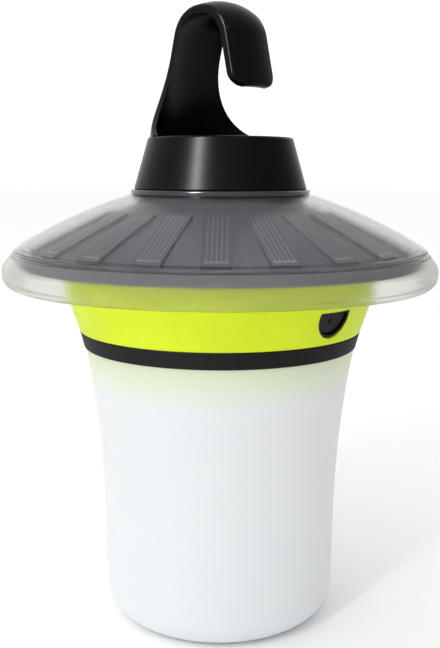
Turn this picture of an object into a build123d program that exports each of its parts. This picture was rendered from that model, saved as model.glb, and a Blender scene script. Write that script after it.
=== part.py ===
"""Solar camping lantern.

A black cap with a moulded hook sits on a clear domed shade, which covers a tray of solar panels.
Below it a lime ring holds the electronics and the button, and a frosted cup spreads the light.
The origin is the centre of the diffuser's resting face, +Z is up, and the button faces -Y.
Lengths are in millimetres.
"""
import os
from math import atan2, cos, degrees, pi, radians, sin, sqrt
from build123d import *

# ---- driving dimensions, all heights above the resting face ----
# diffuser cup
CUP_FOOT_R = 41.05
CUP_CORNER_R = 10.2
CUP_WAIST = (41.6, 40.0)
CUP_MOUTH_R = 47.4
CUP_SHOULDER_Z = 97.5
CUP_TOP_Z = 101.5
CUP_NECK_R = 45.4
CUP_WALL = 2.0

# body ring, a cone that flares upwards
RING_BOTTOM_Z = 103.3
RING_BOTTOM_R = 49.4
RING_BEND_Z = 118.0
RING_BEND_R = 54.2
RING_TOP_Z = 125.6
RING_TOP_R = 54.6
RING_WALL = 2.4
DECK_THICK = 2.2
DECK_HOLE_R = 20.2
SKIRT_R = 43.1
SKIRT_WALL = 1.8
SKIRT_BOTTOM_Z = 87.0

# clear shade cover
COVER_WALL = 2.0
NECK_HOLE_R = 24.5
NECK_R = 30.0
NECK_Z = 150.4
COVER_MID = (52.5, 141.7)
COVER_SHOULDER = (70.4, 132.2)
RIM_CORNER_Z = 126.0
RIM_LOW_Z = 119.1
RIM_LIP_R = 69.7
SHADE_R = 75.0
GROOVES = [(71.07, 131.3), (72.22, 129.75)]
COLLAR_R = 31.0

# solar tray under the cover
TRAY_WALL = 1.6
TRAY_TOP_Z = NECK_Z - COVER_WALL
TRAY_TOP_R = 27.5
TRAY_INNER = (30.5, 145.9)
TRAY_MID = (52.0, 137.3)
TRAY_OUTER = (66.6, 129.6)
TRAY_EDGE_R = 69.4
CELL_COUNT = 20
CELL_SIZE = (9.0, 29.2, 0.9)
CELL_MID_R = 52.0
CELL_POCKET = 0.5

# cap and hook
CAP_BOTTOM = (30.0, 151.5)
CAP_TOP = (24.95, 169.1)
CAP_WALL = 2.4
HOOK_ROOT_Y = 24.0
GUTTER_R = 25.7
HOOK_TOP_Z = 214.0
HOOK_LEAN = 15.5
HOOK_BACK_R = 13.25
HOOK_FRONT_R = 14.45
HOOK_FLAT = 1.6
HOOK_TIP_LEAN = 13.35
HOOK_TIP_LENGTH = 17.7
HOOK_THICK = 2.4
HOOK_EDGE_R = 1.0
POST_WIDTH = 21.3
TIP_WIDTH = 19.7
TIP_CORNER_R = 5.0
TAPER_START = 6.0
TAPER_END = 11.0
FLARE_HEIGHT = 27.9
ROOT_HALF_WIDTH = 23.4
FLARE_R = 35.8

# push button, set square to the ring's sloping wall
BUTTON_Z = 112.4
BUTTON_POCKET_R = 7.3
BUTTON_FLAT = 2.0
BUTTON_TRAVEL = 1.0

BATTERY_R = 9.2
BATTERY_LENGTH = 65.0
BATTERY_Y = 13.0
BODY_SCREW_AT = (24.4, 29.1)

os.makedirs("parts", exist_ok=True)


def save(piece, name):
    """Label a finished piece and write it to its own STEP file."""
    piece.label = name
    export_step(piece, f"parts/{name}.step")


def mirrored_points(x, y):
    """Four points placed symmetrically about both vertical planes."""
    return [(x, y), (-x, y), (x, -y), (-x, -y)]


# ---- diffuser: frosted cup with a stepped neck ----
with BuildPart() as diffuser:
    with BuildSketch(Plane.XZ):
        with BuildLine():
            base = Line((0, 0), (CUP_FOOT_R - CUP_CORNER_R, 0))
            corner = ThreePointArc(
                base @ 1,
                (CUP_FOOT_R - CUP_CORNER_R * (1 - sin(pi / 4)), CUP_CORNER_R * (1 - sin(pi / 4))),
                (CUP_FOOT_R, CUP_CORNER_R),
            )
            side = Line(corner @ 1, CUP_WAIST)
            flare = TangentArc(CUP_WAIST, (CUP_MOUTH_R, CUP_SHOULDER_Z), tangent=side % 1)
            Polyline(
                flare @ 1,
                (CUP_NECK_R, CUP_SHOULDER_Z),
                (CUP_NECK_R, CUP_TOP_Z),
                (CUP_NECK_R - CUP_WALL, CUP_TOP_Z),
                (CUP_NECK_R - CUP_WALL, 85.0),
            )
            inner_flare = ThreePointArc(
                (CUP_NECK_R - CUP_WALL, 85.0), (41.0, 62.0), (CUP_WAIST[0] - CUP_WALL, CUP_WAIST[1])
            )
            inner_side = Line(inner_flare @ 1, (CUP_FOOT_R - CUP_WALL, CUP_CORNER_R))
            inner_corner = ThreePointArc(
                inner_side @ 1,
                (
                    CUP_FOOT_R - CUP_CORNER_R + (CUP_CORNER_R - CUP_WALL) * sin(pi / 4),
                    CUP_CORNER_R - (CUP_CORNER_R - CUP_WALL) * sin(pi / 4),
                ),
                (CUP_FOOT_R - CUP_CORNER_R, CUP_WALL),
            )
            Polyline(inner_corner @ 1, (0, CUP_WALL), (0, 0))
        make_face()
    revolve(axis=Axis.Z)
save(diffuser.part, "diffuser")

# ---- trim band: rubber ring around the diffuser's neck, flush with the ring above ----
with BuildPart() as trim_band:
    with BuildSketch(Plane.XZ) as band_outline:
        with BuildLine():
            Polyline(
                (CUP_NECK_R, CUP_SHOULDER_Z),
                (CUP_MOUTH_R + 0.5, CUP_SHOULDER_Z),
                (RING_BOTTOM_R, RING_BOTTOM_Z),
                (CUP_NECK_R, RING_BOTTOM_Z),
                close=True,
            )
        make_face()
        fillet(band_outline.vertices().group_by(Axis.X)[-1], radius=0.4)
        fillet(band_outline.vertices().filter_by(lambda v: 47 < v.X < 48.5), radius=0.5)
    revolve(axis=Axis.Z)
save(trim_band.part, "trim_band")

# ---- gasket between the diffuser's mouth and the ring ----
with BuildPart() as diffuser_gasket:
    with BuildSketch(Plane.XY.offset(CUP_TOP_Z)):
        Circle(CUP_NECK_R)
        Circle(CUP_NECK_R - CUP_WALL, mode=Mode.SUBTRACT)
    extrude(amount=RING_BOTTOM_Z - CUP_TOP_Z)
save(diffuser_gasket.part, "diffuser_gasket")

# ---- button frame of reference: the slope of the ring's wall ----
ring_slope = atan2(RING_BEND_R - RING_BOTTOM_R, RING_BEND_Z - RING_BOTTOM_Z)
button_r = RING_BOTTOM_R + (BUTTON_Z - RING_BOTTOM_Z) * (RING_BEND_R - RING_BOTTOM_R) / (
    RING_BEND_Z - RING_BOTTOM_Z
)
button_plane = Plane(
    origin=(0, -button_r, BUTTON_Z),
    x_dir=(1, 0, 0),
    z_dir=(0, -cos(ring_slope), -sin(ring_slope)),
)


def d_profile(radius, flat, corner):
    """A disc cut flat above its centre, with rounded corners, in the button's plane."""
    with BuildSketch(mode=Mode.PRIVATE) as outline:
        Circle(radius)
        with Locations((0, flat + radius)):
            Rectangle(2 * radius, 2 * radius, mode=Mode.SUBTRACT)
        fillet(outline.vertices(), radius=corner)
    return outline.sketch


# ---- body ring: lime shell with a deck, an inner skirt and screw columns ----
deck_top_z = RING_BOTTOM_Z + DECK_THICK
screw_points = mirrored_points(*BODY_SCREW_AT)
BOARD_POST_AT = (14.0, 5.5)
BOARD_Y = -24.5
BOARD_Z = 109.0

with BuildPart() as body_ring:
    with BuildSketch(Plane.XZ) as ring_outline:
        with BuildLine():
            Polyline(
                (RING_BEND_R - RING_WALL, RING_TOP_Z),
                (RING_BEND_R - RING_WALL, RING_BEND_Z),
                (RING_BOTTOM_R - RING_WALL + 0.7, deck_top_z),
                (DECK_HOLE_R, deck_top_z),
                (DECK_HOLE_R, RING_BOTTOM_Z),
                (SKIRT_R - SKIRT_WALL, RING_BOTTOM_Z),
                (SKIRT_R - SKIRT_WALL, SKIRT_BOTTOM_Z),
                (SKIRT_R, SKIRT_BOTTOM_Z),
                (SKIRT_R, RING_BOTTOM_Z),
                (RING_BOTTOM_R, RING_BOTTOM_Z),
                (RING_BEND_R, RING_BEND_Z),
                (RING_TOP_R, RING_TOP_Z),
                close=True,
            )
        make_face()
        fillet(ring_outline.vertices().filter_by(lambda v: v.X > 54.1 and v.Y < 119), radius=14)
        fillet(ring_outline.vertices().filter_by(lambda v: v.X > 49.3 and v.Y < 104), radius=0.4)
    revolve(axis=Axis.Z)
    # screw columns
    with BuildSketch(Plane.XY.offset(deck_top_z)):
        with Locations(*screw_points):
            Circle(3.8)
    extrude(amount=RING_TOP_Z - deck_top_z)
    with Locations(*[Location((x, y, RING_BOTTOM_Z), (180, 0, 0)) for x, y in screw_points]):
        CounterBoreHole(radius=1.7, counter_bore_radius=3.0, counter_bore_depth=2.4, depth=30)
    # posts for the main board
    with BuildSketch(Plane.XY.offset(deck_top_z)):
        with Locations((0, BOARD_Y)):
            with GridLocations(2 * BOARD_POST_AT[0], 2 * BOARD_POST_AT[1], 2, 2):
                Circle(2.2)
                Circle(0.9, mode=Mode.SUBTRACT)
    extrude(amount=BOARD_Z - deck_top_z)
    # window for the button's pocket
    with BuildSketch(button_plane.offset(3)):
        add(d_profile(BUTTON_POCKET_R, BUTTON_FLAT, 0.8))
    extrude(amount=-8.5, mode=Mode.SUBTRACT)
save(body_ring.part, "body_ring")

# ---- button bezel: D-shaped pocket with a guide hole for the button's stem ----
BEZEL_FACE = -0.7
BEZEL_BACK = -7.0
BEZEL_WALL = 0.9
STEM_R = 1.5
STEM_Y = -2.0
STEM_CLEARANCE = 0.06
with BuildPart() as button_bezel:
    with BuildSketch(button_plane.offset(BEZEL_BACK)):
        add(d_profile(BUTTON_POCKET_R, BUTTON_FLAT, 0.8))
    extrude(amount=BEZEL_FACE - BEZEL_BACK)
    # retaining collar behind the ring's wall
    with BuildSketch(button_plane.offset(-5.6)):
        add(d_profile(BUTTON_POCKET_R + 1.3, BUTTON_FLAT + 1.3, 1.5))
    extrude(amount=-1.0)
    with BuildSketch(button_plane.offset(BEZEL_BACK + 1.2)):
        add(d_profile(BUTTON_POCKET_R - BEZEL_WALL, BUTTON_FLAT - BEZEL_WALL, 0.5))
    extrude(amount=8, mode=Mode.SUBTRACT)
    with BuildSketch(button_plane.offset(BEZEL_BACK)):
        with Locations((0, STEM_Y)):
            Circle(STEM_R + STEM_CLEARANCE)
    extrude(amount=2, mode=Mode.SUBTRACT)
save(button_bezel.part, "button_bezel")

# ---- power button: D-shaped cap with a raised nub and a stem ----
BUTTON_FACE = -1.3
BUTTON_BACK = -3.9
STEM_END = -8.2
BUTTON_GAP = 0.3
with BuildPart() as power_button:
    with BuildSketch(button_plane.offset(BUTTON_BACK)):
        add(
            d_profile(
                BUTTON_POCKET_R - BEZEL_WALL - BUTTON_GAP,
                BUTTON_FLAT - BEZEL_WALL - BUTTON_GAP,
                0.5,
            )
        )
    extrude(amount=BUTTON_FACE - BUTTON_BACK)
    face_edges = power_button.faces().sort_by(Axis(button_plane.origin, button_plane.z_dir))[-1].edges()
    fillet(face_edges, radius=0.4)
    # raised nub in the middle of the face
    with BuildSketch(button_plane.offset(BUTTON_FACE - 0.5)):
        with Locations((0, STEM_Y)):
            Circle(0.9)
    extrude(amount=0.8)
    with BuildSketch(button_plane.offset(STEM_END)):
        with Locations((0, STEM_Y)):
            Circle(STEM_R)
    extrude(amount=BUTTON_BACK - STEM_END + 0.5)
save(power_button.part, "power_button")

# ---- silicone return pad on the pocket's floor ----
with BuildPart() as return_pad:
    with BuildSketch(button_plane.offset(BEZEL_BACK + 1.2)):
        with Locations((0, STEM_Y)):
            Circle(3.0)
            Circle(STEM_R + 0.5, mode=Mode.SUBTRACT)
    extrude(amount=0.5)
save(return_pad.part, "return_pad")

# ---- tact switch, its board and the sloping bracket that holds them ----
SWITCH_TIP = STEM_END - BUTTON_TRAVEL - 0.3
SWITCH_FRONT = -10.7
SWITCH_BACK = -13.2
SWITCH_BOARD_BACK = -14.4
with BuildPart() as tact_switch:
    with BuildSketch(button_plane.offset(SWITCH_BACK)):
        with Locations((0, STEM_Y)):
            RectangleRounded(6.2, 6.2, 0.5)
    extrude(amount=SWITCH_FRONT - SWITCH_BACK)
    with BuildSketch(button_plane.offset(SWITCH_FRONT)):
        with Locations((0, STEM_Y)):
            Circle(1.7)
    extrude(amount=SWITCH_TIP - SWITCH_FRONT)
save(tact_switch.part, "tact_switch")

with BuildPart() as switch_board:
    with BuildSketch(button_plane.offset(SWITCH_BOARD_BACK)):
        with Locations((0, STEM_Y)):
            Rectangle(16, 11)
            with GridLocations(12, 0, 2, 1):
                Circle(0.9, mode=Mode.SUBTRACT)
    extrude(amount=SWITCH_BACK - SWITCH_BOARD_BACK)
save(switch_board.part, "switch_board")

with BuildPart() as switch_bracket:
    with BuildSketch(button_plane.offset(SWITCH_BOARD_BACK)):
        with Locations((0, -6)):
            Rectangle(16, 30)
        with Locations((0, STEM_Y)):
            Rectangle(8, 7, mode=Mode.SUBTRACT)
    extrude(amount=-1.6)
    split(bisect_by=Plane.XY.offset(deck_top_z), keep=Keep.TOP)
    split(bisect_by=Plane.XY.offset(RING_TOP_Z - 0.4), keep=Keep.BOTTOM)
save(switch_bracket.part, "switch_bracket")

# ---- body screws: from under the deck up into the shade floor ----
FLOOR_THICK = 1.2
FLOOR_BOSS_HEIGHT = 6.0
with BuildPart() as body_screws:
    with BuildSketch(Plane.XY.offset(RING_BOTTOM_Z + 0.2)):
        with Locations(*screw_points):
            Circle(2.75)
    extrude(amount=2.2)
    with BuildSketch(Plane.XY.offset(RING_BOTTOM_Z + 2.4)):
        with Locations(*screw_points):
            Circle(1.5)
    extrude(amount=24.5)
    with BuildSketch(Plane.XY.offset(RING_BOTTOM_Z + 0.2)):
        with Locations(*screw_points):
            RegularPolygon(1.3, 6)
    extrude(amount=1.2, mode=Mode.SUBTRACT)
save(body_screws.part, "body_screws")

# ---- shade floor: closes the tray from below and takes the body screws ----
with BuildPart() as shade_floor:
    with BuildSketch(Plane.XY.offset(RING_TOP_Z)):
        Circle(TRAY_EDGE_R - TRAY_WALL)
        Circle(31.0, mode=Mode.SUBTRACT)
    extrude(amount=FLOOR_THICK)
    with BuildSketch(Plane.XY.offset(RING_TOP_Z)):
        with Locations(*screw_points):
            Circle(3.6)
    extrude(amount=FLOOR_BOSS_HEIGHT)
    with BuildSketch(Plane.XY.offset(RING_TOP_Z)):
        with Locations(*screw_points):
            Circle(1.5)
    extrude(amount=5.0, mode=Mode.SUBTRACT)
save(shade_floor.part, "shade_floor")

# ---- solar tray: dark dome with a turned-down edge and a shallow pocket for each panel ----
cell_tilt = degrees(atan2(TRAY_MID[1] - TRAY_OUTER[1], TRAY_OUTER[0] - TRAY_MID[0])) - 2.0
cell_angles = [9.0 + 360.0 / CELL_COUNT * i for i in range(CELL_COUNT)]
CAP_SCREW_R = 17.0


def cell_plane(angle):
    """Plane of one panel's underside: local y runs down the slope, z stands off the tray."""
    a = radians(angle)
    t = radians(cell_tilt)
    centre_z = TRAY_MID[1] - CELL_POCKET
    return Plane(
        origin=(CELL_MID_R * cos(a), CELL_MID_R * sin(a), centre_z),
        x_dir=(-sin(a), cos(a), 0),
        z_dir=(sin(t) * cos(a), sin(t) * sin(a), cos(t)),
    )


with BuildPart() as solar_tray:
    with BuildSketch(Plane.XZ) as tray_outline:
        with BuildLine():
            Polyline((0, TRAY_TOP_Z), (TRAY_TOP_R, TRAY_TOP_Z), TRAY_INNER)
            ThreePointArc(TRAY_INNER, TRAY_MID, TRAY_OUTER)
            Polyline(
                TRAY_OUTER,
                (TRAY_EDGE_R, 127.6),
                (TRAY_EDGE_R, RING_TOP_Z),
                (TRAY_EDGE_R - TRAY_WALL, RING_TOP_Z),
                (TRAY_EDGE_R - TRAY_WALL, 126.9),
                (TRAY_OUTER[0] - 0.9, TRAY_OUTER[1] - 1.6),
            )
            ThreePointArc(
                (TRAY_OUTER[0] - 0.9, TRAY_OUTER[1] - 1.6),
                (TRAY_MID[0] - 0.7, TRAY_MID[1] - 1.7),
                (TRAY_INNER[0] - 0.7, TRAY_INNER[1] - 1.6),
            )
            Polyline(
                (TRAY_INNER[0] - 0.7, TRAY_INNER[1] - 1.6),
                (TRAY_TOP_R - 0.7, TRAY_TOP_Z - TRAY_WALL),
                (0, TRAY_TOP_Z - TRAY_WALL),
                (0, TRAY_TOP_Z),
            )
        make_face()
        fillet(tray_outline.vertices().filter_by(lambda v: v.X > 69 and v.Y > 127), radius=1.0)
    revolve(axis=Axis.Z)
    for angle in cell_angles:
        with BuildSketch(cell_plane(angle)):
            Rectangle(CELL_SIZE[0], CELL_SIZE[1])
        extrude(amount=3, mode=Mode.SUBTRACT)
    # clearance holes for the cap screws
    with BuildSketch(Plane.XY.offset(TRAY_TOP_Z)):
        with PolarLocations(CAP_SCREW_R, 3, start_angle=90):
            Circle(1.6)
    extrude(amount=-4, mode=Mode.SUBTRACT)
save(solar_tray.part, "solar_tray")

# ---- solar panels: one thin plate in each pocket ----
for number, angle in enumerate(cell_angles, start=1):
    with BuildPart() as solar_cell:
        with BuildSketch(cell_plane(angle)):
            Rectangle(CELL_SIZE[0], CELL_SIZE[1])
        extrude(amount=CELL_SIZE[2])
        chamfer(solar_cell.faces().sort_by(Axis.Z)[-1].edges(), length=0.15)
    save(solar_cell.part, f"solar_cell_{number:02d}")

# ---- shade cover: clear dome, rounded shoulder, sloping rim and a lip turned in ----
# the inner corners lie one wall in from the outer ones, measured across the bend
inner_shoulder = (COVER_SHOULDER[0] - 0.685 * COVER_WALL, COVER_SHOULDER[1] - 0.755 * COVER_WALL)
inner_rim = (SHADE_R - COVER_WALL, RIM_CORNER_Z - 0.33 * COVER_WALL)
inner_neck_r = NECK_R - 0.9
with BuildPart() as shade_cover:
    with BuildSketch(Plane.XZ) as cover_outline:
        with BuildLine():
            Line((NECK_HOLE_R, NECK_Z), (NECK_R - 0.6, NECK_Z))
            ThreePointArc((NECK_R - 0.6, NECK_Z), COVER_MID, COVER_SHOULDER)
            Polyline(
                COVER_SHOULDER,
                (SHADE_R, RIM_CORNER_Z),
                (SHADE_R, RIM_LOW_Z),
                (RIM_LIP_R, RIM_LOW_Z),
                (RIM_LIP_R, RIM_LOW_Z + COVER_WALL),
                (SHADE_R - COVER_WALL, RIM_LOW_Z + COVER_WALL),
                inner_rim,
                inner_shoulder,
            )
            ThreePointArc(
                inner_shoulder,
                (COVER_MID[0] - 0.9, COVER_MID[1] - 1.8),
                (inner_neck_r, NECK_Z - COVER_WALL),
            )
            Polyline(
                (inner_neck_r, NECK_Z - COVER_WALL),
                (NECK_HOLE_R, NECK_Z - COVER_WALL),
                (NECK_HOLE_R, NECK_Z),
            )
        make_face()
        corners = cover_outline.vertices()
        outer_rim = corners.filter_by(lambda v: v.X > SHADE_R - 0.1)
        inner_rim_corners = corners.filter_by(lambda v: abs(v.X - SHADE_R + COVER_WALL) < 0.1)
        fillet(outer_rim, radius=4.0)
        fillet(inner_rim_corners, radius=2.0)
        corners = cover_outline.vertices()
        fillet(corners.filter_by(lambda v: abs(v.X - COVER_SHOULDER[0]) < 0.1 and v.Y > 130), radius=5.0)
        fillet(corners.filter_by(lambda v: abs(v.X - inner_shoulder[0]) < 0.1 and v.Y > 130), radius=3.0)
        fillet(cover_outline.vertices().filter_by(lambda v: abs(v.X - RIM_LIP_R) < 0.1), radius=0.7)
    revolve(axis=Axis.Z)
    # two fine grooves round the shoulder
    with BuildSketch(Plane.XZ):
        for groove_r, groove_z in GROOVES:
            with Locations((groove_r, groove_z)):
                Circle(0.32)
    revolve(axis=Axis.Z, mode=Mode.SUBTRACT)
save(shade_cover.part, "shade_cover")

# ---- neck collar: stepped ring that clamps the cover under the cap ----
with BuildPart() as neck_collar:
    with BuildSketch(Plane.XZ) as collar_outline:
        with BuildLine():
            Polyline(
                (NECK_HOLE_R, NECK_Z),
                (NECK_R - 0.6, NECK_Z),
                (COLLAR_R, NECK_Z - 0.4),
                (COLLAR_R, CAP_BOTTOM[1]),
                (NECK_HOLE_R, CAP_BOTTOM[1]),
                close=True,
            )
        make_face()
        fillet(collar_outline.vertices().filter_by(lambda v: v.X > 30.9 and v.Y > 151), radius=0.5)
    revolve(axis=Axis.Z)
save(neck_collar.part, "neck_collar")

# ---- hook strip: a gutter-shaped band that leans in, arches over and comes down as a tip ----
lean = radians(HOOK_LEAN)
tip_lean = radians(HOOK_TIP_LEAN)
post_length = (HOOK_TOP_Z - CAP_TOP[1] - HOOK_BACK_R * (1 - sin(lean))) / cos(lean)
post_end = (HOOK_ROOT_Y - post_length * sin(lean), CAP_TOP[1] + post_length * cos(lean))
crest_start = (post_end[0] - HOOK_BACK_R * cos(lean), HOOK_TOP_Z)
crest_end = (crest_start[0] - HOOK_FLAT, HOOK_TOP_Z)
tip_start = (crest_end[0] - HOOK_FRONT_R * cos(tip_lean), HOOK_TOP_Z - HOOK_FRONT_R * (1 - sin(tip_lean)))
tip_end = (tip_start[0] - HOOK_TIP_LENGTH * sin(tip_lean), tip_start[1] - HOOK_TIP_LENGTH * cos(tip_lean))
mid_back = (lean + pi / 2) / 2
mid_front = (pi / 2 + tip_lean) / 2
post_dir = (0, -sin(lean), cos(lean))
post_plane = Plane(origin=(0, *post_end), x_dir=(1, 0, 0), z_dir=post_dir)
tip_plane = Plane(origin=(0, *tip_end), x_dir=(1, 0, 0), z_dir=(0, -cos(tip_lean), sin(tip_lean)))


def gutter_section(half_width):
    """Crescent band, HOOK_THICK at its middle, whose outer face passes through the origin."""
    with BuildSketch(mode=Mode.PRIVATE) as band:
        with Locations((0, -GUTTER_R)):
            Circle(GUTTER_R)
        with Locations((0, -GUTTER_R - HOOK_THICK)):
            Circle(GUTTER_R, mode=Mode.SUBTRACT)
        Rectangle(2 * half_width, 2 * GUTTER_R, mode=Mode.INTERSECT)
    return band.sketch


with BuildPart() as hook_arch:
    with BuildLine(Plane.YZ):
        ThreePointArc(
            post_end,
            (
                post_end[0] - HOOK_BACK_R * (cos(lean) - cos(mid_back)),
                post_end[1] + HOOK_BACK_R * (sin(mid_back) - sin(lean)),
            ),
            crest_start,
        )
        Line(crest_start, crest_end)
        ThreePointArc(
            crest_end,
            (
                crest_end[0] - HOOK_FRONT_R * cos(mid_front),
                crest_end[1] - HOOK_FRONT_R * (1 - sin(mid_front)),
            ),
            tip_start,
        )
        Line(tip_start, tip_end)
    with BuildSketch(post_plane):
        add(gutter_section(POST_WIDTH / 2 + 1))
    sweep()
    # plan outline: the band narrows over the arch to the tip
    with BuildSketch(Plane.XY.offset(CAP_TOP[1])):
        with BuildLine():
            narrowing = [
                (POST_WIDTH / 2, 30),
                (POST_WIDTH / 2, post_end[0] - TAPER_START),
                (TIP_WIDTH / 2, crest_end[0] - TAPER_END),
                (TIP_WIDTH / 2, -40),
            ]
            Polyline(*narrowing, *[(-x, y) for x, y in reversed(narrowing)], close=True)
        make_face()
    extrude(amount=60, mode=Mode.INTERSECT)

with BuildPart() as hook_strip:
    with BuildSketch(post_plane):
        add(gutter_section(ROOT_HALF_WIDTH))
    extrude(amount=-post_length - 12)
    split(bisect_by=Plane.XY.offset(CAP_TOP[1] - CAP_WALL / 2), keep=Keep.TOP)
    add(hook_arch.part)
    # front outline: straight sides that flare out to the cap's rim
    half = POST_WIDTH / 2
    flare_z = CAP_TOP[1] + FLARE_HEIGHT
    low_z = CAP_TOP[1] - CAP_WALL
    flare_low_x = half + FLARE_R - sqrt(FLARE_R**2 - (flare_z - low_z) ** 2)
    flare_mid_z = (flare_z + low_z) / 2
    flare_mid_x = half + FLARE_R - sqrt(FLARE_R**2 - (flare_z - flare_mid_z) ** 2)
    with BuildSketch(Plane.XZ):
        for side in (1, -1):
            with BuildLine():
                Polyline(
                    (side * half, flare_z),
                    (side * half, HOOK_TOP_Z + 5),
                    (0, HOOK_TOP_Z + 5),
                    (0, low_z),
                )
                Line((0, low_z), (side * flare_low_x, low_z))
                ThreePointArc(
                    (side * flare_low_x, low_z), (side * flare_mid_x, flare_mid_z), (side * half, flare_z)
                )
            make_face()
    extrude(amount=40, both=True, mode=Mode.INTERSECT)
    # round the tip's corners, seen square on
    with BuildSketch(tip_plane):
        for side in (1, -1):
            with Locations((side * (TIP_WIDTH / 2 - TIP_CORNER_R), TIP_CORNER_R)):
                Circle(TIP_CORNER_R)
        with Locations((0, TIP_CORNER_R)):
            Rectangle(TIP_WIDTH - 2 * TIP_CORNER_R, 2 * TIP_CORNER_R)
    tip_keep = extrude(amount=12, both=True, mode=Mode.PRIVATE)
    with BuildSketch(tip_plane):
        with Locations((0, TIP_CORNER_R / 2 - 5)):
            Rectangle(TIP_WIDTH + 4, TIP_CORNER_R + 10)
    tip_block = extrude(amount=12, both=True, mode=Mode.PRIVATE)
    add(tip_block - tip_keep, mode=Mode.SUBTRACT)
    # round the long edges of the outer face
    throat_middle = Vector(0, 0, HOOK_TOP_Z - 18)
    outer_faces = hook_strip.faces().filter_by(
        lambda face: face.geom_type != GeomType.PLANE
        and abs(face.normal_at().X) < 0.5
        and face.normal_at().dot(face.center() - throat_middle) > 0
    )
    fillet(outer_faces.edges().filter_by(lambda edge: abs(edge.center().X) > 1), radius=HOOK_EDGE_R)

# ---- cap: hollow cone with a flat top, three screw posts and the hook moulded on ----
with BuildPart() as hook_cap:
    with BuildSketch(Plane.XZ) as cap_outline:
        with BuildLine():
            Polyline(
                (0, CAP_TOP[1]),
                CAP_TOP,
                CAP_BOTTOM,
                (CAP_BOTTOM[0] - CAP_WALL, CAP_BOTTOM[1]),
                (CAP_TOP[0] - CAP_WALL + 0.5, CAP_TOP[1] - CAP_WALL),
                (0, CAP_TOP[1] - CAP_WALL),
                close=True,
            )
        make_face()
        fillet(cap_outline.vertices().filter_by(lambda v: abs(v.X - CAP_TOP[0]) < 0.1), radius=1.0)
        fillet(cap_outline.vertices().filter_by(lambda v: abs(v.X - CAP_BOTTOM[0]) < 0.1), radius=0.5)
    revolve(axis=Axis.Z)
    with BuildSketch(Plane.XY.offset(TRAY_TOP_Z)):
        with PolarLocations(CAP_SCREW_R, 3, start_angle=90):
            Circle(3.4)
    extrude(amount=CAP_TOP[1] - CAP_WALL - TRAY_TOP_Z + 0.5)
    with BuildSketch(Plane.XY.offset(TRAY_TOP_Z)):
        with PolarLocations(CAP_SCREW_R, 3, start_angle=90):
            Circle(1.5)
    extrude(amount=12, mode=Mode.SUBTRACT)
    add(hook_strip.part)
save(hook_cap.part, "hook_cap")

# ---- cap screws: up through the tray's top into the cap's posts ----
with BuildPart() as cap_screws:
    with BuildSketch(Plane.XY.offset(TRAY_TOP_Z - TRAY_WALL)):
        with PolarLocations(CAP_SCREW_R, 3, start_angle=90):
            Circle(2.8)
    extrude(amount=-1.8)
    with BuildSketch(Plane.XY.offset(TRAY_TOP_Z - TRAY_WALL)):
        with PolarLocations(CAP_SCREW_R, 3, start_angle=90):
            Circle(1.5)
    extrude(amount=12)
    with BuildSketch(Plane.XY.offset(TRAY_TOP_Z - TRAY_WALL - 1.8)):
        with PolarLocations(CAP_SCREW_R, 3, start_angle=90):
            RegularPolygon(1.3, 6)
    extrude(amount=1.2, mode=Mode.SUBTRACT)
save(cap_screws.part, "cap_screws")

# ---- battery cradle, cell and contacts, lying along X behind the middle ----
CRADLE_WALL = 1.6
CONTACT_THICK = 0.4
battery_z = deck_top_z + CRADLE_WALL + BATTERY_R
cradle_length = BATTERY_LENGTH + 2 * (CRADLE_WALL + CONTACT_THICK)
with BuildPart() as battery_cradle:
    with BuildSketch(Plane.XY.offset(deck_top_z)):
        with Locations((0, BATTERY_Y)):
            Rectangle(cradle_length, 18.8)
    extrude(amount=CRADLE_WALL)
    with BuildSketch(Plane.XY.offset(deck_top_z)):
        with Locations((0, BATTERY_Y)):
            with GridLocations(cradle_length - CRADLE_WALL, 0, 2, 1):
                Rectangle(CRADLE_WALL, 18.8)
    extrude(amount=BATTERY_R + 5)
    # saddle ribs that hug the cell
    for rib_x in (-20, 20):
        with BuildSketch(Plane.YZ.offset(rib_x)):
            with Locations((BATTERY_Y, deck_top_z + 4)):
                Rectangle(18.8, 8)
            with Locations((BATTERY_Y, battery_z)):
                Circle(BATTERY_R, mode=Mode.SUBTRACT)
        extrude(amount=1, both=True)
save(battery_cradle.part, "battery_cradle")

with BuildPart() as battery_cell:
    with BuildSketch(Plane.YZ.offset(-BATTERY_LENGTH / 2)):
        with Locations((BATTERY_Y, battery_z)):
            Circle(BATTERY_R)
    extrude(amount=BATTERY_LENGTH - 1)
    fillet(battery_cell.edges().filter_by(GeomType.CIRCLE), radius=0.6)
    with BuildSketch(Plane.YZ.offset(BATTERY_LENGTH / 2 - 1)):
        with Locations((BATTERY_Y, battery_z)):
            Circle(2.8)
    extrude(amount=1)
save(battery_cell.part, "battery_cell")

with BuildPart() as battery_contacts:
    for side in (1, -1):
        with BuildSketch(Plane.YZ.offset(side * BATTERY_LENGTH / 2)):
            with Locations((BATTERY_Y, battery_z - 1)):
                Rectangle(8, 10)
        extrude(amount=side * CONTACT_THICK)
save(battery_contacts.part, "battery_contacts")

# ---- main board on its posts, with its components and screws ----
BOARD_SIZE = (34.0, 16.0, 1.6)
with BuildPart() as main_board:
    with BuildSketch(Plane.XY.offset(BOARD_Z)):
        with Locations((0, BOARD_Y)):
            RectangleRounded(BOARD_SIZE[0], BOARD_SIZE[1], 1.5)
            with GridLocations(2 * BOARD_POST_AT[0], 2 * BOARD_POST_AT[1], 2, 2):
                Circle(1.1, mode=Mode.SUBTRACT)
    extrude(amount=BOARD_SIZE[2])
save(main_board.part, "main_board")

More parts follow.
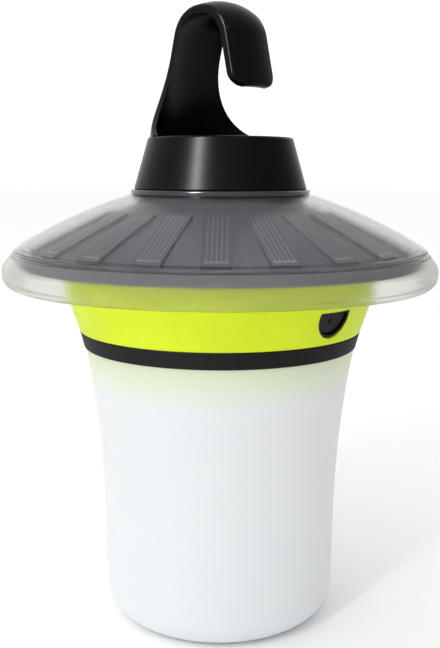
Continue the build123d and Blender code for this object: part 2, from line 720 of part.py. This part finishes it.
board_top_z = BOARD_Z + BOARD_SIZE[2]
chips = [
    (-6, 3, 5, 5, 1.2),
    (4, 3, 7, 7, 3.5),
    (8, -4.5, 4, 5, 1.6),
    (-6, -4.5, 8, 4, 4.0),
    (1, -4.5, 3, 3, 1.0),
]
with BuildPart() as board_components:
    for x, y, length, width, height in chips:
        with BuildSketch(Plane.XY.offset(board_top_z)):
            with Locations((x, BOARD_Y + y)):
                Rectangle(length, width)
        extrude(amount=height)
save(board_components.part, "board_components")

with BuildPart() as board_screws:
    with BuildSketch(Plane.XY.offset(board_top_z)):
        with Locations((0, BOARD_Y)):
            with GridLocations(2 * BOARD_POST_AT[0], 2 * BOARD_POST_AT[1], 2, 2):
                Circle(1.9)
    extrude(amount=1.3)
    with BuildSketch(Plane.XY.offset(board_top_z)):
        with Locations((0, BOARD_Y)):
            with GridLocations(2 * BOARD_POST_AT[0], 2 * BOARD_POST_AT[1], 2, 2):
                Circle(0.9)
    extrude(amount=-4.5)
save(board_screws.part, "board_screws")

# ---- light unit under the deck: reflector dish, board, chips and clear lens ----
REFLECTOR_HOLE_R = 13.5
LENS_R = 15.0
with BuildPart() as reflector:
    with BuildSketch(Plane.XZ) as dish_outline:
        with BuildLine():
            Polyline(
                (REFLECTOR_HOLE_R, RING_BOTTOM_Z),
                (REFLECTOR_HOLE_R, RING_BOTTOM_Z - 1.6),
                (23.0, RING_BOTTOM_Z - 1.6),
                (39.8, RING_BOTTOM_Z - 9.0),
                (41.0, RING_BOTTOM_Z - 9.0),
                (41.0, RING_BOTTOM_Z - 7.6),
                (24.0, RING_BOTTOM_Z),
                close=True,
            )
        make_face()
        fillet(dish_outline.vertices().filter_by(lambda v: abs(v.X - 23.0) < 0.1), radius=8)
    revolve(axis=Axis.Z)
save(reflector.part, "reflector")

with BuildPart() as led_board:
    with BuildSketch(Plane.XY.offset(RING_BOTTOM_Z)):
        Circle(DECK_HOLE_R - 0.4)
    extrude(amount=1.6)
save(led_board.part, "led_board")

with BuildPart() as led_chips:
    with BuildSketch(Plane.XY.offset(RING_BOTTOM_Z)):
        with PolarLocations(8.5, 8):
            Rectangle(3.0, 3.0)
    extrude(amount=-1.0)
save(led_chips.part, "led_chips")

with BuildPart() as led_lens:
    flange_z = RING_BOTTOM_Z - 1.6
    dome_depth = 7.0
    dome_r = 13.8
    sphere_r = (dome_r**2 + dome_depth**2) / (2 * dome_depth)
    tip_z = flange_z - 1.0 - dome_depth
    with BuildSketch(Plane.XZ):
        with BuildLine():
            ThreePointArc(
                (0, tip_z),
                (dome_r / 2, tip_z + sphere_r - sqrt(sphere_r**2 - dome_r**2 / 4)),
                (dome_r, flange_z - 1.0),
            )
            Polyline(
                (dome_r, flange_z - 1.0),
                (LENS_R + 1.5, flange_z - 1.0),
                (LENS_R + 1.5, flange_z),
                (0, flange_z),
                (0, tip_z),
            )
        make_face()
    revolve(axis=Axis.Z)
save(led_lens.part, "led_lens")
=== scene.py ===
"""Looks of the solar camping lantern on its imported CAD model. Metres, +Z up, button towards -Y."""
import math

import bmesh
import bpy
from mathutils import Matrix, Vector


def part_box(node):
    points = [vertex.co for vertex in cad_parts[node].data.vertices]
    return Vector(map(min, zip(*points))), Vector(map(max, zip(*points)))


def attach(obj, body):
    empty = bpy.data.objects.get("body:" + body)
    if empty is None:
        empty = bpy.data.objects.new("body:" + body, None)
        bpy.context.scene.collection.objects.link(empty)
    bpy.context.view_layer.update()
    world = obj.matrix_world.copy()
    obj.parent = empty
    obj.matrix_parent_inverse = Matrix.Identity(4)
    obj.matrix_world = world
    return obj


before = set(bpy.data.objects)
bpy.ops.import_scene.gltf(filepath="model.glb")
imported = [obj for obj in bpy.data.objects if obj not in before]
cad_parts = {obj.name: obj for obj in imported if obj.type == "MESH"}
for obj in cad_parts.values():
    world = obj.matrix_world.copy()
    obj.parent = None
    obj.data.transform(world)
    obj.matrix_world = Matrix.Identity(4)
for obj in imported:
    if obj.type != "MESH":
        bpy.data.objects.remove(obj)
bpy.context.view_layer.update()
BODY = "lantern"
CELLS = sorted(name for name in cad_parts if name.startswith("solar_cell_"))

# view: turned from the button, looking slightly down
VIEW_AZIMUTH = math.radians(-44)
VIEW_PITCH = math.radians(9.46)
VIEW_ROLL = math.radians(0.18)
VIEW_DISTANCE = 0.3238
EYE_HEIGHT = 0.1580
LENS_MM = 51.17

# room: brightness in front of the camera and at its right, and where it fades between them
ROOM_BRIGHT = 1.10
ROOM_DIM = 0.4
DIM_START = 0.25
DIM_END = 0.9
LIGHT_TARGET = Vector((0, 0, 0.11))
LIGHT_DISTANCE = 1.2
FLOOR_HALF = 6.0
FLOOR_GAP = 0.0002

# cover: the stretch of height that holds its two grooves, and the half height of the shade painted along
# each
SHOULDER = (0.1285, 0.1325)
GROOVES = (0.12974, 0.1313)
GROOVE_SHADE_HALF = 0.00024

# diffuser: depth below its mouth of the lime show-through painted into its colour
SHOWTHROUGH_DEPTH = 0.022

# solar panels: middle of the top face of the first one, and the silver printed on each
CELL_TILT = math.radians(25.8)
CELL_R = 0.05246
CELL_Z = 0.13758
FIRST_CELL_TURN = 9
PRINT_LIFT = 0.00003
FINGERS = 5
FINGER_PITCH = 0.00145
FINGER_HALF = (0.00014, 0.0132)
FINGER_SHIFT = -0.0004
BUS_HALF = (0.0036, 0.0005)
BUS_SHIFT = 0.0126


# ---------------------------------------------------------------- camera, lights, floor
def make_camera():
    """A camera a little above the shade, turned so that the button shows on the right."""
    data = bpy.data.cameras.new("camera")
    data.lens = LENS_MM
    data.sensor_width = 36.0
    data.clip_start = 0.01
    camera = bpy.data.objects.new("camera", data)
    bpy.context.collection.objects.link(camera)
    turn = Matrix.Rotation(VIEW_AZIMUTH, 4, "Z")
    tilt = Matrix.Rotation(math.pi / 2 - VIEW_PITCH, 4, "X")
    place = Matrix.Translation(turn @ Vector((0, -VIEW_DISTANCE, EYE_HEIGHT)))
    camera.matrix_world = place @ turn @ tilt @ Matrix.Rotation(VIEW_ROLL, 4, "Z")
    bpy.context.scene.camera = camera


def area_light(name, azimuth, elevation, size, power):
    """A softbox that looks at the lantern's middle from the given direction, in degrees."""
    data = bpy.data.lights.new(name, "AREA")
    data.shape = "RECTANGLE"
    data.size, data.size_y = size
    data.energy = power
    light = bpy.data.objects.new(name, data)
    bpy.context.collection.objects.link(light)
    a, e = math.radians(azimuth), math.radians(elevation)
    away = Vector((math.sin(a) * math.cos(e), -math.cos(a) * math.cos(e), math.sin(e)))
    light.location = LIGHT_TARGET + away * LIGHT_DISTANCE
    light.rotation_mode = "QUATERNION"
    light.rotation_quaternion = (-away).to_track_quat("-Z", "Y")
    return light


def make_lights():
    """A white room, dimmer to the right, with two tall softboxes at the left, one only for gloss."""
    world = bpy.data.worlds.new("studio")
    bpy.context.scene.world = world
    world.use_nodes = True
    tree = world.node_tree
    background = tree.nodes["Background"]
    background.inputs["Color"].default_value = (1, 1, 1, 1)
    coords = tree.nodes.new("ShaderNodeTexCoord")
    side = tree.nodes.new("ShaderNodeVectorMath")
    side.operation = "DOT_PRODUCT"
    side.inputs[1].default_value = (math.cos(VIEW_AZIMUTH), math.sin(VIEW_AZIMUTH), 0)
    dim = tree.nodes.new("ShaderNodeMapRange")
    dim.inputs["From Min"].default_value = DIM_START
    dim.inputs["From Max"].default_value = DIM_END
    dim.inputs["To Min"].default_value = ROOM_BRIGHT
    dim.inputs["To Max"].default_value = ROOM_DIM
    tree.links.new(coords.outputs["Generated"], side.inputs[0])
    tree.links.new(side.outputs["Value"], dim.inputs["Value"])
    tree.links.new(dim.outputs["Result"], background.inputs["Strength"])
    area_light("key", -78, 30, (0.07, 0.8), 2.4)
    strip = area_light("strip", -79, 30, (0.13, 0.9), 42)
    strip.visible_diffuse = False


def make_floor():
    """A plain pale floor, large enough to fill every view."""
    mesh = bpy.data.meshes.new("floor")
    corners = [(-1, -1), (1, -1), (1, 1), (-1, 1)]
    mesh.from_pydata([(x * FLOOR_HALF, y * FLOOR_HALF, 0) for x, y in corners], [], [(0, 1, 2, 3)])
    floor = bpy.data.objects.new("floor", mesh)
    floor.location.z = -FLOOR_GAP
    bpy.context.collection.objects.link(floor)
    material, _ = new_material("floor_white", (0.98, 0.98, 0.98), 0.9)
    mesh.materials.append(material)


# ---------------------------------------------------------------- material helpers
def new_material(name, color, roughness, **settings):
    """A Principled material. Extra settings are written straight on the shader's own sockets."""
    material = bpy.data.materials.new(name)
    material.use_nodes = True
    shader = material.node_tree.nodes["Principled BSDF"]
    shader.inputs["Base Color"].default_value = (*color, 1)
    shader.inputs["Roughness"].default_value = roughness
    for socket, value in settings.items():
        shader.inputs[socket.replace("_", " ")].default_value = value
    return material, shader


def noise(material, scale, detail=4.0):
    """Noise in object space, in cycles per metre."""
    tree = material.node_tree
    coords = tree.nodes.new("ShaderNodeTexCoord")
    texture = tree.nodes.new("ShaderNodeTexNoise")
    texture.inputs["Scale"].default_value = scale
    texture.inputs["Detail"].default_value = detail
    tree.links.new(coords.outputs["Object"], texture.inputs["Vector"])
    return texture.outputs["Fac"]


def height_factor(material, low, high):
    """0 to 1 between two heights in the object's own frame, in metres."""
    tree = material.node_tree
    coords = tree.nodes.new("ShaderNodeTexCoord")
    split = tree.nodes.new("ShaderNodeSeparateXYZ")
    height = tree.nodes.new("ShaderNodeMapRange")
    height.inputs["From Min"].default_value = low
    height.inputs["From Max"].default_value = high
    tree.links.new(coords.outputs["Object"], split.inputs["Vector"])
    tree.links.new(split.outputs["Z"], height.inputs["Value"])
    return height.outputs["Result"]


def ramp(material, factor, stops):
    """A colour ramp over a factor. Stops are (position, colour) pairs."""
    node = material.node_tree.nodes.new("ShaderNodeValToRGB")
    elements = node.color_ramp.elements
    while len(elements) < len(stops):
        elements.new(0.5)
    for element, (position, color) in zip(elements, stops):
        element.position = position
        element.color = (*color, 1)
    material.node_tree.links.new(factor, node.inputs["Fac"])
    return node.outputs["Color"]


def spread(material, factor, low, high):
    """Stretches a 0 to 1 factor to run from low to high."""
    node = material.node_tree.nodes.new("ShaderNodeMapRange")
    node.inputs["To Min"].default_value = low
    node.inputs["To Max"].default_value = high
    material.node_tree.links.new(factor, node.inputs["Value"])
    return node.outputs["Result"]


def vary(material, shader, color, roughness):
    """Faint cloudy variation of colour and gloss, as moulded plastic has."""
    links = material.node_tree.links
    cloud = noise(material, 60)
    dark = tuple(c * 0.96 for c in color)
    light = tuple(min(1.0, c * 1.04) for c in color)
    links.new(ramp(material, cloud, [(0.3, dark), (0.7, light)]), shader.inputs["Base Color"])
    fine = noise(material, 420)
    links.new(spread(material, fine, roughness * 0.88, roughness * 1.12), shader.inputs["Roughness"])


def bump(material, shader, height, strength, distance):
    """Bump from a height factor, with its depth in metres."""
    node = material.node_tree.nodes.new("ShaderNodeBump")
    node.inputs["Strength"].default_value = strength
    node.inputs["Distance"].default_value = distance
    material.node_tree.links.new(height, node.inputs["Height"])
    material.node_tree.links.new(node.outputs["Normal"], shader.inputs["Normal"])


def plastic(name, color, roughness, **settings):
    """Moulded plastic or rubber with a fine grain."""
    material, shader = new_material(name, color, roughness, **settings)
    vary(material, shader, color, roughness)
    bump(material, shader, noise(material, 2500, 2.0), 0.25, 0.00004)
    return material


def assign(material, *names):
    """Gives CAD nodes a material in place of their plain one."""
    for name in names:
        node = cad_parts[name]
        node.data.materials.clear()
        node.data.materials.append(material)


# ---------------------------------------------------------------- materials of the CAD nodes
def diffuser_material():
    """Frosted white, with painted light: the lime skirt inside its mouth showing through is painted into
    the colour near the top.
    """
    white, half_showthrough, lime_showthrough = (0.73, 0.75, 0.77), (0.69, 0.74, 0.60), (0.58, 0.65, 0.41)
    material, shader = new_material(
        "frosted_diffuser", white, 0.42, Subsurface_Weight=0.35, Subsurface_Scale=0.004
    )
    shader.inputs["Subsurface Radius"].default_value = (1.0, 1.0, 1.0)
    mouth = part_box("diffuser")[1].z
    # painted light: the lime skirt's colour seen through the frosted wall is painted into the base
    # colour, greener towards the mouth
    height = height_factor(material, mouth - SHOWTHROUGH_DEPTH, mouth)
    color = ramp(material, height, [(0.15, white), (0.5, half_showthrough), (0.95, lime_showthrough)])
    material.node_tree.links.new(color, shader.inputs["Base Color"])
    bump(material, shader, noise(material, 4000, 2.0), 0.2, 0.00003)
    return material


def lens_material():
    """Clear plastic with a faint haze."""
    material, shader = new_material("lens_clear", (0.95, 0.95, 0.95), 0.05, Transmission_Weight=1.0)
    haze = spread(material, noise(material, 900, 3.0), 0.04, 0.06)
    material.node_tree.links.new(haze, shader.inputs["Roughness"])
    return material


def cover_material():
    """Smoky clear plastic with painted shade along its two grooves at the shoulder, hazier towards the
    rim.
    """
    rim, groove_shade, clear = (0.77, 0.76, 0.73), (0.10, 0.09, 0.10), (0.72, 0.71, 0.69)
    material, shader = new_material("cover_clear", clear, 0.2, Transmission_Weight=0.99, IOR=1.07)
    links = material.node_tree.links
    low, high = SHOULDER
    shoulder = height_factor(material, low, high)
    stops = []
    # painted shade: a dark line is painted into the base colour at each groove
    for centre, below in zip(GROOVES, (rim, clear)):
        edges = [(centre - GROOVE_SHADE_HALF, below), (centre, groove_shade), (centre + GROOVE_SHADE_HALF, clear)]
        stops += [((z - low) / (high - low), color) for z, color in edges]
    links.new(ramp(material, shoulder, stops), shader.inputs["Base Color"])
    links.new(spread(material, shoulder, 0.34, 0.12), shader.inputs["Roughness"])
    links.new(spread(material, shoulder, 0.96, 0.975), shader.inputs["Transmission Weight"])
    bump(material, shader, noise(material, 500, 2.0), 0.2, 0.00002)
    return material


def dress_nodes():
    """Better materials for every CAD node."""
    assign(plastic("hook_black", (0.0018, 0.0018, 0.0021), 0.28, Specular_IOR_Level=0.08), "hook_cap")
    assign(plastic("collar_grey", (0.022, 0.022, 0.025), 0.18), "neck_collar")
    assign(cover_material(), "shade_cover")
    tray = plastic("tray_dark", (0.095, 0.094, 0.120), 0.30, Specular_IOR_Level=0.2)
    assign(tray, "solar_tray", "shade_floor")
    assign(plastic("lime", (0.60, 0.745, 0.014), 0.45, Specular_IOR_Level=0.2), "body_ring")
    assign(plastic("band_rubber", (0.005, 0.005, 0.005), 0.6, Specular_IOR_Level=0.15), "trim_band")
    assign(diffuser_material(), "diffuser")
    assign(plastic("button_black", (0.003, 0.003, 0.003), 0.30, Specular_IOR_Level=0.15), "button_bezel")
    assign(plastic("button_face", (0.004, 0.004, 0.004), 0.42, Specular_IOR_Level=0.12), "power_button")
    assign(plastic("cell_dark", (0.085, 0.085, 0.115), 0.25, Specular_IOR_Level=0.25), *CELLS)
    assign(plastic("silicone", (0.55, 0.55, 0.55), 0.6), "return_pad", "diffuser_gasket")
    assign(plastic("circuit_green", (0.02, 0.16, 0.06), 0.4), "main_board", "switch_board", "led_board")
    assign(plastic("chip_black", (0.02, 0.02, 0.02), 0.5), "board_components", "tact_switch")
    assign(plastic("inner_white", (0.70, 0.70, 0.68), 0.5), "battery_cradle", "switch_bracket")
    assign(plastic("battery_blue", (0.03, 0.12, 0.40), 0.3), "battery_cell")
    assign(plastic("reflector_white", (0.85, 0.85, 0.85), 0.25), "reflector")
    assign(plastic("led_phosphor", (0.85, 0.70, 0.20), 0.4), "led_chips")
    assign(lens_material(), "led_lens")
    steel_color, steel_roughness = (0.55, 0.55, 0.56), 0.3
    steel, shader = new_material("steel", steel_color, steel_roughness, Metallic=1.0)
    vary(steel, shader, steel_color, steel_roughness)
    assign(steel, "body_screws", "cap_screws", "board_screws", "battery_contacts")


# ---------------------------------------------------------------- extra pieces
def add_piece(name, material, quads):
    """A mesh piece from quads, given as lists of four points in metres, that rides with the lantern."""
    shape = bmesh.new()
    for quad in quads:
        shape.faces.new([shape.verts.new(point) for point in quad])
    mesh = bpy.data.meshes.new(name)
    shape.to_mesh(mesh)
    shape.free()
    mesh.materials.append(material)
    piece = bpy.data.objects.new(name, mesh)
    bpy.context.collection.objects.link(piece)
    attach(piece, BODY)


def cell_frame(index):
    """Centre of a panel's top face with its across, down-slope and outward directions."""
    turn = math.radians(FIRST_CELL_TURN + 360 / len(CELLS) * index)
    out = Vector((
        math.sin(CELL_TILT) * math.cos(turn), math.sin(CELL_TILT) * math.sin(turn), math.cos(CELL_TILT)
    ))
    across = Vector((-math.sin(turn), math.cos(turn), 0))
    down = across.cross(out)
    centre = Vector((CELL_R * math.cos(turn), CELL_R * math.sin(turn), CELL_Z))
    return centre, across, down, out


def print_quad(index, across_shift, down_shift, half):
    """Corners of a printed rectangle on one panel, placed by its shift from the panel's centre."""
    centre, across, down, out = cell_frame(index)
    middle = centre + out * PRINT_LIFT + across * across_shift + down * down_shift
    corners = ((-1, -1), (-1, 1), (1, 1), (1, -1))
    return [middle + across * (i * half[0]) + down * (j * half[1]) for i, j in corners]


def make_cell_prints():
    """Printed silver fingers along each panel and the short bus bar they end in."""
    quads = []
    for index in range(len(CELLS)):
        for finger in range(FINGERS):
            shift = (finger - (FINGERS - 1) / 2) * FINGER_PITCH
            quads.append(print_quad(index, shift, FINGER_SHIFT, FINGER_HALF))
        quads.append(print_quad(index, 0, BUS_SHIFT, BUS_HALF))
    silver = plastic("print_silver", (0.24, 0.24, 0.28), 0.35, Metallic=0.6)
    add_piece("cell_prints", silver, quads)


# ---------------------------------------------------------------- main
bpy.context.scene.view_settings.view_transform = "Standard"
make_camera()
make_lights()
make_floor()
dress_nodes()
make_cell_prints()
